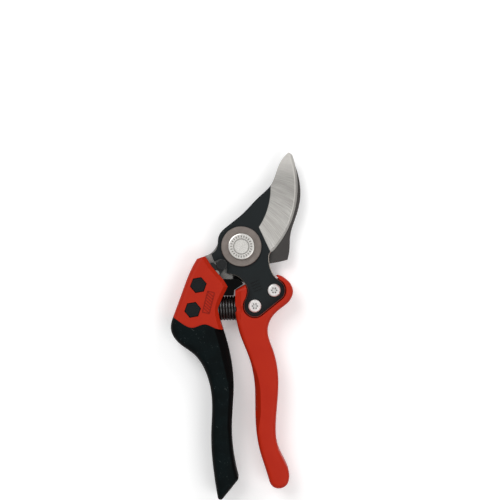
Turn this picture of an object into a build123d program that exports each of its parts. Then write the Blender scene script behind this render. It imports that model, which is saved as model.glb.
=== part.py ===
from build123d import *
from math import atan2, cos, degrees, hypot, radians, sin
import os

os.makedirs("parts", exist_ok=True)

# Bypass pruning shears, closed, lying on their back. The pivot axis is +Z, the head points along +Y,
# and z = 0 is the surface they lie on. The origin is on the pivot axis, on the end of the pivot bolt.

# ---- driving sizes, millimetres and degrees ----
handle_reach = 143.0        # pivot axis to the end of the fixed handle
end_step = 7.0              # how much sooner the moving handle ends
blade_reach = 53.4          # pivot axis to the blade's tip, along Y
handle_thick = 19.0         # both handles, front to back
body_inset = 0.6            # the hard bodies lie this far inside the grip's two faces
grip_wall = 3.0             # elastomer over the core
open_angle = 29.0           # full opening of the moving handle

hook_thick = 4.0
blade_thick = 3.2
face_gap = 0.05             # oil film between flat faces that slide
run_gap = 0.05              # radial clearance of a running fit
free_gap = 0.3              # least distance between faces of pieces that move apart
loose_gap = 0.15            # drop-in clearance round heads and seats

pivot_r = 4.0               # pivot bolt shank
bush_wall = 1.5
bolt_head_r = 7.35
bolt_head_h = 2.8
front_washer_r = 11.4
front_washer_t = 1.5
back_washer_r = 10.0
back_washer_t = 0.7
nut_flats = 13.0
lock_plate_t = 1.0
lock_plate_r = 9.6
lock_screw_r = 1.25
lock_screw_head_r = 2.3
lock_screw_head_h = 1.3
lock_screw_h = 3.0
lock_screw_at = (13.4, -1.2)
tick_count = 24             # plain index marks round the bolt head
tick_l = 1.1
tick_w = 0.5
tick_inset = 1.7            # from the head's rim to the middle of a mark
ring_inset = 2.9            # from the head's rim to the ring inside the marks
ring_w = 0.4
mark_h = 0.2
slot_w = 0.7
ear_rim = 0.4               # lock plate round its screw's head
ear_root = 2.0              # how far inside the plate's rim its ear starts

edge_round = 0.5            # small turned or moulded edges
turned_chamfer = 0.3
head_chamfer = 0.4

inner_bevel = 2.0           # hard body's edges that face the other handle
outer_round = 3.0           # hard body's other edges
inner_x = -20.0             # the fixed body's inner edges lie right of this
grip_round = 4.0
moving_round = 2.6

hex_flats = 8.0             # handle bolts
hex_nut_h = 4.0
hex_head_h = 3.2
hex_proud = 0.4             # head standing out of its pocket
hex_turn = 10.0             # how far a corner is turned from +Y
handle_bolt_r = 2.5
handle_bolts_at = [(-24.1, -21.7), (-27.3, -35.6)]
head_ring_r = 2.7           # shallow turned groove in each head
head_ring_w = 0.5

foot_rim = 2.35             # foot metal round each counterbore
foot_gap = 0.5              # between the foot and its pocket
screw_head_r = 3.7
screw_head_h = 2.3
screw_dome = 0.9
screw_head_gap = 0.25       # between a head and its counterbore
screw_ledge = 1.2           # foot metal left under the counterbore
screw_r = 2.0
screw_tail = 0.5            # thread left empty below the screw
star_r = 1.25               # six-lobed drive recess
star_point_r = 0.42
star_point_reach = 1.35
star_depth = 1.4
screw_washer_t = 0.4
insert_wall = 1.1
insert_h = 6.5
screws_at = [(18.6, -24.8), (7.6, -33.7)]

spring_r = 7.0              # outside of the coil
wire_r = 0.75
coil_pitch = 1.85
spring_y = -35.0
fixed_seat_x = -17.0        # pocket floor in the fixed handle
moving_seat_x = -0.4        # pocket floor in the moving handle
seat_flange_t = 1.2
seat_peg_h = 3.5
seat_stem_r = 1.5
seat_stem_h = 0.8
seat_peg_round = 1.0

edge_bow = 7.4              # how far the cutting edge bows out from its chord
bevel_width = 15.0
micro_bevel = 1.2
bevel_edge_t = 0.15         # metal left at the very edge
bevel_land_t = 0.9          # metal left where the small bevel starts
edge_break = 0.35           # small chamfer round the foot

lobe_reach = 6.1            # the blade's stop lobe, beyond the front washer
lobe_start = 193.6
lobe_end = 209.3
notch_reach = 3.2           # floor of the notch, beyond the front washer
body_reach = 2.6            # the fixed body, beyond the lobe's path
elbow_reach = 3.7           # its elbow over the bump stop, beyond the lobe's path
lock_reach = 9.5            # lock pin, beyond the front washer
lock_bearing = 227.3
lock_pin_r = 1.1
lock_hub_r = 2.3
lock_arm_t = 1.5
tooth_r = 0.9
tooth_wall = 0.3            # arm round the tooth
tooth_reach = 5.6           # lock pin to tooth
tooth_bearing = 112.0
knob_r = 3.2
knob_h = 4.4
knob_reach = 6.0
knob_bearing = 58.9
knob_lip = 0.4              # knob standing out round its arm
thumb_rib_w = 0.9           # crescent rib on the knob
thumb_rib_h = 0.5
thumb_rib_inset = 0.7
dish_r = 1.7                # shallow dish for the thumb in front of the rib
dish_depth = 0.8
lock_bay_r = 6.8            # room for the catch inside the fixed body
lock_pin_head_r = 1.9
lock_pin_head_h = 0.6

panel_at = (-18.4, -31.4)   # plain ribbed panel on the fixed body
panel_size = (12.6, 4.4)
panel_turn = 76.0
panel_rim = 0.45
panel_h = 0.25
panel_ribs = 7
panel_slant = 62.0

grooves_at = (8.6, -22.4)   # plain engraved bars on the blade's foot
groove_count = 4
groove_step = 1.7
groove_size = (5.4, 0.6)
groove_turn = 22.0
groove_depth = 0.2

grip_tip_round = 1.6        # corners of the fixed grip's end, outside and inside
grip_toe_round = 2.0

# ---- levels worked out from the sizes ----
mid = handle_thick / 2                       # the face where blade and hook slide
hook_back = mid - hook_thick
blade_back = mid + face_gap
blade_front = blade_back + blade_thick
bush_top = blade_front + face_gap
washer_top = bush_top + front_washer_t
body_back = body_inset
body_front = handle_thick - body_inset
stop_level = body_inset + inner_bevel        # the bump stop fills the space between the bevels
bush_r = pivot_r + bush_wall
arm_z = blade_front + free_gap
arm_top = arm_z + lock_arm_t
lock_roof = arm_top + run_gap + lock_pin_head_h + loose_gap
back_washer_z = hook_back - back_washer_t
neck_y = -47.0                               # where the grips begin
fixed_end = -handle_reach
moving_end = -(handle_reach - end_step)

# ---- radii worked out from the sizes ----
screw_bore_r = screw_head_r + screw_head_gap
foot_r = screw_bore_r + foot_rim
lobe_r = front_washer_r + lobe_reach
notch_r = front_washer_r + notch_reach
body_r = lobe_r + body_reach
elbow_r = lobe_r + elbow_reach
lock_radius = front_washer_r + lock_reach


def polar(radius, bearing):
    return (radius * cos(radians(bearing)), radius * sin(radians(bearing)))


def shifted(point, radius, bearing):
    dx, dy = polar(radius, bearing)
    return (point[0] + dx, point[1] + dy)


def heading(bearing):
    """The way a point moves as it goes round counter-clockwise."""
    return (-sin(radians(bearing)), cos(radians(bearing)))


def fixed_grip(x, share):
    """A point on the fixed grip, share 0 at the neck and 1 at the end."""
    return (x, neck_y + share * (fixed_end - neck_y))


def moving_grip(x, share):
    return (x, neck_y + share * (moving_end - neck_y))


def fixed_foot(x, above):
    """A point near the fixed grip's end, above its lowest level."""
    return (x, fixed_end + above)


def moving_foot(x, above):
    return (x, moving_end + above)


def blade_at(x, share):
    """A point beside the blade, share 0 level with the pivot and 1 at the tip."""
    return (x, share * blade_reach)


# ---- cutting edge: one arc from the heel to the tip ----
heel = (18.5, -2.0)
tip_shoulder = (28.9, blade_reach - 1.4)
tip = (26.9, blade_reach)
chord = hypot(tip_shoulder[0] - heel[0], tip_shoulder[1] - heel[1])
chord_bearing = degrees(atan2(tip_shoulder[1] - heel[1], tip_shoulder[0] - heel[0]))
edge_r = (chord ** 2 / 4 + edge_bow ** 2) / (2 * edge_bow)
chord_mid = ((heel[0] + tip_shoulder[0]) / 2, (heel[1] + tip_shoulder[1]) / 2)
edge_mid = shifted(chord_mid, edge_bow, chord_bearing - 90)
edge_center = shifted(edge_mid, edge_r, chord_bearing + 90)

lock_at = polar(lock_radius, lock_bearing)
tooth_at = shifted(lock_at, tooth_reach, tooth_bearing)
knob_at = shifted(lock_at, knob_reach, knob_bearing)

# ---- blade: ground plate with its foot, stop lobe and notch ----
foot_left = shifted(screws_at[1], foot_r, 172)
foot_low = shifted(screws_at[1], foot_r, 230)
foot_right = shifted(screws_at[0], foot_r, 10)
foot_top = shifted(screws_at[0], foot_r, 62)
foot_run = degrees(atan2(screws_at[0][1] - screws_at[1][1], screws_at[0][0] - screws_at[1][0]))
foot_run_start = shifted(screws_at[1], foot_r, foot_run - 90)
foot_run_end = shifted(screws_at[0], foot_r, foot_run - 90)
lobe_mid = (lobe_start + lobe_end) / 2

with BuildSketch(Plane.XY.offset(blade_back)) as blade_outline:
    with BuildLine():
        ThreePointArc(heel, edge_mid, tip_shoulder)
        Line(tip_shoulder, tip)
        Spline(tip, blade_at(20.3, 0.82), blade_at(17.0, 0.66), blade_at(9.4, 0.515), blade_at(1.5, 0.36),
               (-7.5, 11.8), (-12.9, 5.5), (-13.9, -1.2), polar(lobe_r, lobe_start))
        ThreePointArc(polar(lobe_r, lobe_start), polar(lobe_r, lobe_mid), polar(lobe_r, lobe_end))
        Line(polar(lobe_r, lobe_end), polar(notch_r, lobe_end))
        ThreePointArc(polar(notch_r, lobe_end), polar(notch_r, 225), polar(notch_r, 236))
        Line(polar(notch_r, 236), (-8.3, -15.4))
        Spline((-8.3, -15.4), (-2.2, -17.0), (1.5, -20.3), (3.5, -24.9), (2.4, -29.6), foot_left,
               tangents=((1, -0.15), heading(172)))
        ThreePointArc(foot_left, foot_low, foot_run_start)
        Line(foot_run_start, foot_run_end)
        ThreePointArc(foot_run_end, foot_right, foot_top)
        Spline(foot_top, (17.9, -15.4), (15.8, -9.0), (16.4, -3.6), heel,
               tangents=(heading(62), (0.7, 0.7)))
    make_face()

grind_top = (9.9, 11.0)
grind_foot = (16.4, -2.8)
run_out = Plane(origin=grind_top, x_dir=(grind_foot[0] - grind_top[0], grind_foot[1] - grind_top[1], 0),
                z_dir=(grind_top[1] - grind_foot[1], grind_foot[0] - grind_top[0], 0))
edge_axis = Axis((*edge_center, 0), (0, 0, 1))

# The grinding wheel leaves one broad cone and, along the edge, a second steeper one.
with BuildPart() as grind:
    with BuildSketch(Plane((*edge_center, blade_back), x_dir=(1, 0, 0), z_dir=(0, -1, 0))):
        with BuildLine():
            Polyline((edge_r - bevel_width, blade_thick),
                     (edge_r - micro_bevel, bevel_land_t),
                     (edge_r, bevel_edge_t),
                     (edge_r + 2, bevel_edge_t),
                     (edge_r + 2, blade_thick + 1),
                     (edge_r - bevel_width, blade_thick + 1), close=True)
        make_face()
    revolve(axis=edge_axis)
    split(bisect_by=run_out, keep=Keep.TOP)

with BuildPart() as blade:
    add(blade_outline.sketch)
    extrude(amount=blade_thick)
    add(grind.part, mode=Mode.SUBTRACT)
    with Locations((0, 0, blade_front)):
        Hole(bush_r + run_gap)
    with Locations(*[(x, y, blade_front) for x, y in screws_at]):
        CounterBoreHole(screw_r + loose_gap, screw_bore_r, blade_thick - screw_ledge)
    with BuildSketch(Plane.XY.offset(blade_front)):
        with Locations(Location((*grooves_at, 0), (0, 0, groove_turn))):
            with GridLocations(0, groove_step, 1, groove_count):
                SlotOverall(*groove_size)
    extrude(amount=-groove_depth, mode=Mode.SUBTRACT)
    rim = blade.faces().filter_by(Axis.Z).sort_by(Axis.Z)[-1].outer_wire().edges()
    chamfer(rim.filter_by(lambda e: e.center().Y < lock_at[1]), edge_break)
blade.part.label = "blade"
export_step(blade.part, "parts/blade.step")

# ---- hook: counter blade with its tang, cut from one plate ----
hook_tip = blade_at(30.4, 0.87)
hook_heel = (26.2, -7.5)
hook_under = (17.9, -9.4)
tang_lip = (-5.0, -17.3)
tang_corner = (-9.6, -18.6)
tang_r = 6.3
tang_left = shifted(handle_bolts_at[1], tang_r, 170)
tang_low = shifted(handle_bolts_at[1], tang_r, 260)
tang_right = shifted(handle_bolts_at[1], tang_r, -10)
stop_tab = [(-9.0, -18.0), (-7.4, -21.8), (-4.4, -21.4), (-4.6, -17.0)]

with BuildSketch(Plane.XY.offset(hook_back)) as hook_outline:
    with BuildLine():
        Spline(hook_tip, blade_at(32.7, 0.72), blade_at(33.5, 0.54), blade_at(31.2, 0.33),
               blade_at(27.8, 0.12), (27.2, -3.0), hook_heel)
        Spline(hook_heel, hook_under, (8.0, -11.4), (0.0, -15.2), tang_lip)
        Line(tang_lip, tang_corner)
        Spline(tang_corner, (-16.8, -25.4), tang_right)
        ThreePointArc(tang_right, tang_low, tang_left)
        Spline(tang_left, (-30.4, -21.0), (-24.4, -9.4), (-20.4, -5.2))
        Spline((-20.4, -5.2), (-16.6, -3.2), (-12.9, 2.6), (-8.6, 9.8), (0.0, 13.0), (8.2, 10.2),
               (12.8, 9.2), (18.0, 12.4), blade_at(22.4, 0.38), blade_at(25.4, 0.6), hook_tip)
    make_face()

with BuildPart() as hook:
    add(hook_outline.sketch)
    extrude(amount=hook_thick)
    with BuildSketch(Plane.XY.offset(hook_back)):
        with BuildLine():
            Polyline(*stop_tab, close=True)
        make_face()
    extrude(amount=hook_thick)
    with Locations((0, 0, mid)):
        Hole(bush_r)
    with Locations(*[(x, y, mid) for x, y in handle_bolts_at]):
        Hole(handle_bolt_r + loose_gap)
    with Locations((*lock_at, mid)):
        Hole(lock_pin_r)
    with Locations((*lock_screw_at, mid)):
        Hole(lock_screw_r)
hook.part.label = "hook"
export_step(hook.part, "parts/hook.step")

# ---- fixed handle: hard body whose core runs down inside the elastomer grip ----
with BuildLine() as seam:
    Spline((-44.0, -37.0), (-38.2, -39.8), (-32.4, -43.9), (-27.5, -45.7), (-20.5, -43.8),
           (-15.5, -45.6), (-10.4, -46.8), (-4.0, -46.0))
seam_ends = [seam.line @ 0, seam.line @ 1]

with BuildSketch() as grip_zone:
    with BuildLine():
        add(seam.line)
        Polyline(seam_ends[1], (handle_reach, seam_ends[1].Y), (handle_reach, -2 * handle_reach),
                 (seam_ends[0].X, -2 * handle_reach), seam_ends[0])
    make_face()

body_crest = polar(elbow_r, 195)
body_peak = (-25.0, -7.0)
body_elbow = polar(elbow_r, 241.3)
body_corner = (-7.7, -22.6)
shoulder_low = fixed_grip(-26.6, 0.145)       # the grip's outer bend, under the hand's heel
shoulder_high = fixed_grip(-36.0, 0.069)

with BuildSketch() as fixed_outline:
    with BuildLine():
        Line(body_peak, body_crest)
        Polyline(body_crest, polar(body_r, 214.6), body_elbow, body_corner)
        Spline(body_corner, (-10.8, -29.0), (-12.8, -35.5), (-12.1, -41.0), fixed_grip(-10.2, 0),
               fixed_grip(-6.7, 0.13), fixed_grip(-4.4, 0.32), fixed_grip(-5.4, 0.58),
               fixed_grip(-3.4, 0.79), fixed_foot(-1.4, 12.0))
        Line(fixed_foot(-1.4, 12.0), fixed_foot(-12.6, -1.9))
        Spline(fixed_foot(-12.6, -1.9), fixed_foot(-15.2, 13.4), fixed_grip(-17.0, 0.62),
               fixed_grip(-16.6, 0.41), fixed_grip(-19.6, 0.26), shoulder_low, shoulder_high,
               (-39.7, -46.6), (-38.0, -38.4), (-33.6, -26.5), (-29.4, -15.4), body_peak)
    make_face()
    fillet(fixed_outline.vertices().sort_by(Axis.Y)[:1], grip_tip_round)
    fillet(fixed_outline.vertices().sort_by(Axis.Y).filter_by(lambda v: v.X > -3)[:1], grip_toe_round)

with BuildSketch() as upper_outline:
    add(fixed_outline.sketch)
    add(grip_zone.sketch, mode=Mode.SUBTRACT)

with BuildSketch() as grip_outline:
    add(fixed_outline.sketch)
    add(grip_zone.sketch, mode=Mode.INTERSECT)

shoulder_slope = 43                          # the way into the grip from its outer bend
with BuildSketch() as core_outline:
    with BuildLine():
        Spline((-12.8 - grip_wall, -36.0), (-11.0 - grip_wall, -43.5), fixed_grip(-6.9 - grip_wall, 0.13),
               fixed_grip(-4.4 - grip_wall, 0.32), fixed_grip(-5.4 - grip_wall, 0.58),
               fixed_foot(-2.6 - grip_wall, 16.3))
        Line(fixed_foot(-2.6 - grip_wall, 16.3), fixed_foot(-14.6 + grip_wall, 5.8))
        Spline(fixed_foot(-14.6 + grip_wall, 5.8), fixed_grip(-17.0 + grip_wall, 0.62),
               fixed_grip(-16.6 + grip_wall, 0.41), fixed_grip(-19.4 + grip_wall, 0.25),
               shifted(shoulder_low, grip_wall, shoulder_slope),
               shifted(shoulder_high, grip_wall, shoulder_slope),
               (-39.7 + grip_wall, -46.6), (-37.0 + grip_wall, -36.0))
        Line((-37.0 + grip_wall, -36.0), (-12.8 - grip_wall, -36.0))
    make_face()
    add(grip_zone.sketch, mode=Mode.INTERSECT)


def off_seam(edge):
    spot = edge @ 0.5
    return seam.line.distance_to(Vector(spot.X, spot.Y, 0)) > 1


def rim_edges(part, level):
    """The outer edges of the flat face at one level, without those along the grip seam."""
    flats = part.faces().filter_by(Axis.Z).filter_by(lambda f: abs(f.center().Z - level) < 0.01)
    return flats.sort_by(SortBy.AREA)[-1].outer_wire().edges().filter_by(off_seam)


with BuildPart() as fixed_handle:
    with BuildSketch(Plane.XY.offset(body_back)):
        add(upper_outline.sketch)
    extrude(amount=body_front - body_back)
    for level in (body_back, body_front):
        chamfer(rim_edges(fixed_handle, level).filter_by(lambda e: e.center().X > inner_x), inner_bevel)
    for level in (body_back, body_front):
        fillet(rim_edges(fixed_handle, level).filter_by(lambda e: e.center().X < inner_x - 5), outer_round)
    with BuildSketch(Plane.XY.offset(grip_wall)):
        add(core_outline.sketch)
    extrude(amount=handle_thick - 2 * grip_wall)
    with BuildSketch(Plane.XY.offset(hook_back)):
        add(hook_outline.sketch.moved(Location((0, 0, -hook_back))))
    extrude(amount=hook_thick, mode=Mode.SUBTRACT)
    with BuildSketch(Plane.XY.offset(mid)):
        with Locations(lock_at):
            Circle(lock_bay_r)
    extrude(amount=lock_roof - mid, mode=Mode.SUBTRACT)
    with BuildSketch(Plane.XY.offset(body_front - hex_head_h + hex_proud)):
        with Locations(*handle_bolts_at):
            RegularPolygon(hex_flats / 2 + loose_gap, 6, major_radius=False, rotation=hex_turn)
    extrude(amount=hex_head_h, mode=Mode.SUBTRACT)
    with BuildSketch(Plane.XY.offset(body_back)):
        with Locations(*handle_bolts_at):
            RegularPolygon(hex_flats / 2 + loose_gap, 6, major_radius=False, rotation=hex_turn)
    extrude(amount=hex_nut_h, mode=Mode.SUBTRACT)
    with BuildSketch(Plane.XY.offset(body_back)):
        with Locations(*handle_bolts_at):
            Circle(handle_bolt_r + loose_gap)
    extrude(amount=body_front - body_back, mode=Mode.SUBTRACT)
    with BuildSketch(Plane((fixed_seat_x, spring_y, mid), x_dir=(0, 1, 0), z_dir=(1, 0, 0))):
        Circle(spring_r + free_gap)
    extrude(amount=-fixed_seat_x, mode=Mode.SUBTRACT)
    with BuildSketch(Plane((fixed_seat_x, spring_y, mid), x_dir=(0, 1, 0), z_dir=(1, 0, 0))):
        Circle(seat_stem_r)
    extrude(amount=-seat_stem_h, mode=Mode.SUBTRACT)
    with BuildSketch(Plane.XY.offset(body_front)):
        with Locations(Location((*panel_at, 0), (0, 0, panel_turn))):
            RectangleRounded(*panel_size, edge_round)
            Rectangle(panel_size[0] - 2 * panel_rim, panel_size[1] - 2 * panel_rim, mode=Mode.SUBTRACT)
            with GridLocations(panel_size[0] / (panel_ribs + 1), 0, panel_ribs, 1):
                Rectangle(panel_size[1], panel_rim, rotation=panel_slant)
    extrude(amount=panel_h)
fixed_handle.part.label = "fixed_handle"
export_step(fixed_handle.part, "parts/fixed_handle.step")

with BuildPart() as soft_grip:
    with BuildSketch():
        add(grip_outline.sketch)
    extrude(amount=handle_thick)
    for level in (0, handle_thick):
        fillet(rim_edges(soft_grip, level), grip_round)
    with BuildSketch(Plane.XY.offset(grip_wall)):
        add(core_outline.sketch)
    extrude(amount=handle_thick - 2 * grip_wall, mode=Mode.SUBTRACT)
soft_grip.part.label = "soft_grip"
export_step(soft_grip.part, "parts/soft_grip.step")

# ---- moving handle: one hard body with a pocket for the blade's foot ----
with BuildSketch() as moving_outline:
    with BuildLine():
        Spline((20.6, -16.0), (25.9, -18.9), (29.1, -24.6), (27.5, -30.2), (22.4, -34.8), (17.2, -40.0),
               (14.9, -46.6), moving_grip(18.2, 0.14), moving_grip(20.9, 0.33), moving_grip(19.5, 0.58),
               moving_grip(21.6, 0.77), moving_foot(27.0, 5.6), moving_foot(25.0, 1.1),
               moving_foot(19.2, 0), moving_foot(17.0, 1.5), moving_foot(15.3, 5.6), moving_grip(10.6, 0.77),
               moving_grip(8.0, 0.56), moving_grip(7.5, 0.34), moving_grip(4.4, 0.175),
               (-1.2, -48.0), (-2.9, -40.5), (-4.1, -27.5))
        Polyline((-4.1, -27.5), (-3.7, -24.8), (1.6, -21.8), (14.0, -17.6), (20.6, -16.0))
    make_face()

pocket_r = foot_r + foot_gap
with BuildSketch() as foot_pocket:
    with Locations(*screws_at):
        Circle(pocket_r)
    make_hull()
    with BuildLine():
        Spline((0.4 - foot_gap, -18.8), (3.5 - foot_gap, -24.0), (2.5 - foot_gap, -29.6),
               shifted(screws_at[1], pocket_r, 172), tangents=((0.7, -0.7), heading(172)))
        Polyline(shifted(screws_at[1], pocket_r, 172), screws_at[1], screws_at[0],
                 shifted(screws_at[0], pocket_r, 62), (18.0 + foot_gap, -15.2), (16.6 + foot_gap, -11.0),
                 (0.4 - foot_gap, -11.0), (0.4 - foot_gap, -18.8))
    make_face()

relief_r = hypot(*hook_heel) + free_gap
heel_bearing = degrees(atan2(hook_heel[1], hook_heel[0])) - open_angle
under_bearing = degrees(atan2(hook_under[1], hook_under[0])) - open_angle
heel_open = polar(relief_r + 2, heel_bearing - 1.5)
under_open = polar(hypot(*hook_under) + free_gap, under_bearing)

with BuildPart() as moving_handle:
    with BuildSketch(Plane.XY.offset(body_back)):
        add(moving_outline.sketch)
    extrude(amount=body_front - body_back)
    for level in (body_back, body_front):
        fillet(rim_edges(moving_handle, level), moving_round)
    with BuildSketch(Plane.XY.offset(blade_back)):
        add(foot_pocket.sketch)
    extrude(amount=handle_thick, mode=Mode.SUBTRACT)
    with BuildSketch(Plane.XY) as relief:
        with BuildLine():
            Polyline((0, 0), under_open, heel_open, (2 * relief_r, 0), close=True)
        make_face()
        Circle(relief_r, mode=Mode.INTERSECT)
    extrude(amount=blade_back, mode=Mode.SUBTRACT)
    with BuildSketch(Plane((moving_seat_x, spring_y, mid), x_dir=(0, 1, 0), z_dir=(1, 0, 0))):
        Circle(spring_r + free_gap)
    extrude(amount=2 * moving_seat_x - spring_r, mode=Mode.SUBTRACT)
    with BuildSketch(Plane((moving_seat_x, spring_y, mid), x_dir=(0, 1, 0), z_dir=(1, 0, 0))):
        Circle(seat_stem_r)
    extrude(amount=seat_stem_h, mode=Mode.SUBTRACT)
    with BuildSketch(Plane.XY.offset(blade_back)):
        with Locations(*screws_at):
            Circle(screw_r + insert_wall)
    extrude(amount=-insert_h, mode=Mode.SUBTRACT)
moving_handle.part.label = "moving_handle"
export_step(moving_handle.part, "parts/moving_handle.step")

# ---- pivot set, front to back ----
with BuildPart() as pivot_bolt:
    with BuildSketch(Plane.XY.offset(washer_top)):
        Circle(bolt_head_r)
    extrude(amount=bolt_head_h)
    fillet(pivot_bolt.faces().sort_by(Axis.Z)[-1].edges(), edge_round)
    with BuildSketch(Plane.XY.offset(washer_top + bolt_head_h)):
        with PolarLocations(bolt_head_r - tick_inset, tick_count):
            Rectangle(tick_l, tick_w)
        Circle(bolt_head_r - ring_inset)
        Circle(bolt_head_r - ring_inset - ring_w, mode=Mode.SUBTRACT)
    extrude(amount=mark_h)
    with BuildSketch():
        Circle(pivot_r)
    extrude(amount=washer_top)
pivot_bolt.part.label = "pivot_bolt"
export_step(pivot_bolt.part, "parts/pivot_bolt.step")

with BuildPart() as front_washer:
    with BuildSketch(Plane.XY.offset(bush_top)):
        Circle(front_washer_r)
        Circle(pivot_r + loose_gap, mode=Mode.SUBTRACT)
    extrude(amount=front_washer_t)
    chamfer(front_washer.faces().sort_by(Axis.Z)[-1].outer_wire().edges(), turned_chamfer)
front_washer.part.label = "front_washer"
export_step(front_washer.part, "parts/front_washer.step")

with BuildPart() as pivot_bush:
    with BuildSketch(Plane.XY.offset(hook_back)):
        Circle(bush_r)
        Circle(pivot_r, mode=Mode.SUBTRACT)
    extrude(amount=bush_top - hook_back)
pivot_bush.part.label = "pivot_bush"
export_step(pivot_bush.part, "parts/pivot_bush.step")

with BuildPart() as back_washer:
    with BuildSketch(Plane.XY.offset(back_washer_z)):
        Circle(back_washer_r)
        Circle(pivot_r + loose_gap, mode=Mode.SUBTRACT)
    extrude(amount=back_washer_t)
back_washer.part.label = "back_washer"
export_step(back_washer.part, "parts/back_washer.step")

with BuildPart() as pivot_nut:
    with BuildSketch():
        RegularPolygon(nut_flats / 2, 6, major_radius=False)
        Circle(pivot_r, mode=Mode.SUBTRACT)
    extrude(amount=back_washer_z)
pivot_nut.part.label = "pivot_nut"
export_step(pivot_nut.part, "parts/pivot_nut.step")

with BuildPart() as nut_lock_plate:
    with BuildSketch(Plane.XY.offset(back_washer_z - lock_plate_t)):
        with BuildSketch(mode=Mode.PRIVATE) as ear:
            Circle(lock_plate_r - ear_root)
            with Locations(lock_screw_at):
                Circle(lock_screw_head_r + ear_rim)
            make_hull()
        Circle(lock_plate_r)
        add(ear.sketch)
        RegularPolygon(nut_flats / 2 + run_gap, 6, major_radius=False, mode=Mode.SUBTRACT)
    extrude(amount=lock_plate_t)
    with BuildSketch(Plane.XY.offset(back_washer_z)):
        with Locations(lock_screw_at):
            Circle(lock_screw_head_r)
        Circle(back_washer_r, mode=Mode.SUBTRACT)
    extrude(amount=back_washer_t)
    with BuildSketch(Plane.XY.offset(back_washer_z - lock_plate_t)):
        with Locations(lock_screw_at):
            Circle(lock_screw_r)
    extrude(amount=lock_plate_t + back_washer_t, mode=Mode.SUBTRACT)
nut_lock_plate.part.label = "nut_lock_plate"
export_step(nut_lock_plate.part, "parts/nut_lock_plate.step")

with BuildPart() as nut_lock_screw:
    with BuildSketch(Plane.XY.offset(back_washer_z - lock_plate_t)):
        with Locations(lock_screw_at):
            Circle(lock_screw_head_r)
    extrude(amount=-lock_screw_head_h)
    fillet(nut_lock_screw.faces().sort_by(Axis.Z)[0].edges(), edge_round)
    with BuildSketch(Plane.XY.offset(back_washer_z - lock_plate_t)):
        with Locations(lock_screw_at):
            Circle(lock_screw_r)
    extrude(amount=lock_plate_t + back_washer_t + lock_screw_h)
    with BuildSketch(Plane.XY.offset(back_washer_z - lock_plate_t - lock_screw_head_h)):
        with Locations(lock_screw_at):
            Rectangle(2 * lock_screw_head_r, slot_w)
    extrude(amount=slot_w, mode=Mode.SUBTRACT)
nut_lock_screw.part.label = "nut_lock_screw"
export_step(nut_lock_screw.part, "parts/nut_lock_screw.step")

# ---- bolts and nuts of the fixed handle ----
with BuildPart() as handle_bolts:
    with BuildSketch(Plane.XY.offset(body_front + hex_proud - hex_head_h)):
        with Locations(*handle_bolts_at):
            RegularPolygon(hex_flats / 2, 6, major_radius=False, rotation=hex_turn)
    extrude(amount=hex_head_h)
    chamfer(handle_bolts.faces().filter_by(Axis.Z).group_by(Axis.Z)[-1].edges(), head_chamfer)
    with BuildSketch(Plane.XY.offset(body_front + hex_proud)):
        with Locations(*handle_bolts_at):
            Circle(head_ring_r)
            Circle(head_ring_r - head_ring_w, mode=Mode.SUBTRACT)
    extrude(amount=-mark_h, mode=Mode.SUBTRACT)
    with BuildSketch(Plane.XY.offset(body_back + loose_gap)):
        with Locations(*handle_bolts_at):
            Circle(handle_bolt_r)
    extrude(amount=body_front + hex_proud - hex_head_h - body_back - loose_gap)
handle_bolts.part.label = "handle_bolts"
export_step(handle_bolts.part, "parts/handle_bolts.step")

with BuildPart() as handle_nuts:
    with BuildSketch(Plane.XY.offset(body_back + loose_gap)):
        with Locations(*handle_bolts_at):
            RegularPolygon(hex_flats / 2, 6, major_radius=False, rotation=hex_turn)
            Circle(handle_bolt_r, mode=Mode.SUBTRACT)
    extrude(amount=hex_nut_h - loose_gap)
handle_nuts.part.label = "handle_nuts"
export_step(handle_nuts.part, "parts/handle_nuts.step")

# ---- screws, washers and inserts that hold the blade's foot ----
ledge_z = blade_back + screw_ledge
screw_seat_z = ledge_z + screw_washer_t
screw_top = screw_seat_z + screw_head_h
insert_low = blade_back - insert_h

with BuildPart() as blade_screws:
    with BuildSketch(Plane.XY.offset(screw_seat_z)):
        with Locations(*screws_at):
            Circle(screw_head_r)
    extrude(amount=screw_head_h)
    fillet(blade_screws.faces().filter_by(Axis.Z).group_by(Axis.Z)[-1].edges(), screw_dome)
    with BuildSketch(Plane.XY.offset(screw_top - star_depth)):
        with Locations(*screws_at):
            Circle(star_r)
            with PolarLocations(star_point_reach, 6):
                Circle(star_point_r)
    extrude(amount=star_depth, mode=Mode.SUBTRACT)
    with BuildSketch(Plane.XY.offset(insert_low + screw_tail)):
        with Locations(*screws_at):
            Circle(screw_r)
    extrude(amount=screw_seat_z - insert_low - screw_tail)
blade_screws.part.label = "blade_screws"
export_step(blade_screws.part, "parts/blade_screws.step")

with BuildPart() as screw_washers:
    with BuildSketch(Plane.XY.offset(ledge_z)):
        with Locations(*screws_at):
            Circle(screw_bore_r - run_gap)
            Circle(screw_r + loose_gap, mode=Mode.SUBTRACT)
    extrude(amount=screw_washer_t)
screw_washers.part.label = "screw_washers"
export_step(screw_washers.part, "parts/screw_washers.step")

with BuildPart() as screw_inserts:
    with BuildSketch(Plane.XY.offset(insert_low)):
        with Locations(*screws_at):
            Circle(screw_r + insert_wall)
            Circle(screw_r, mode=Mode.SUBTRACT)
    extrude(amount=insert_h)
screw_inserts.part.label = "screw_inserts"
export_step(screw_inserts.part, "parts/screw_inserts.step")

# ---- opening spring with a seat at each end ----
peg_r = spring_r - 2 * wire_r - 2 * free_gap
seat_r = spring_r - free_gap
fixed_seat_top = fixed_seat_x + seat_flange_t
moving_seat_top = moving_seat_x - seat_flange_t

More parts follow.
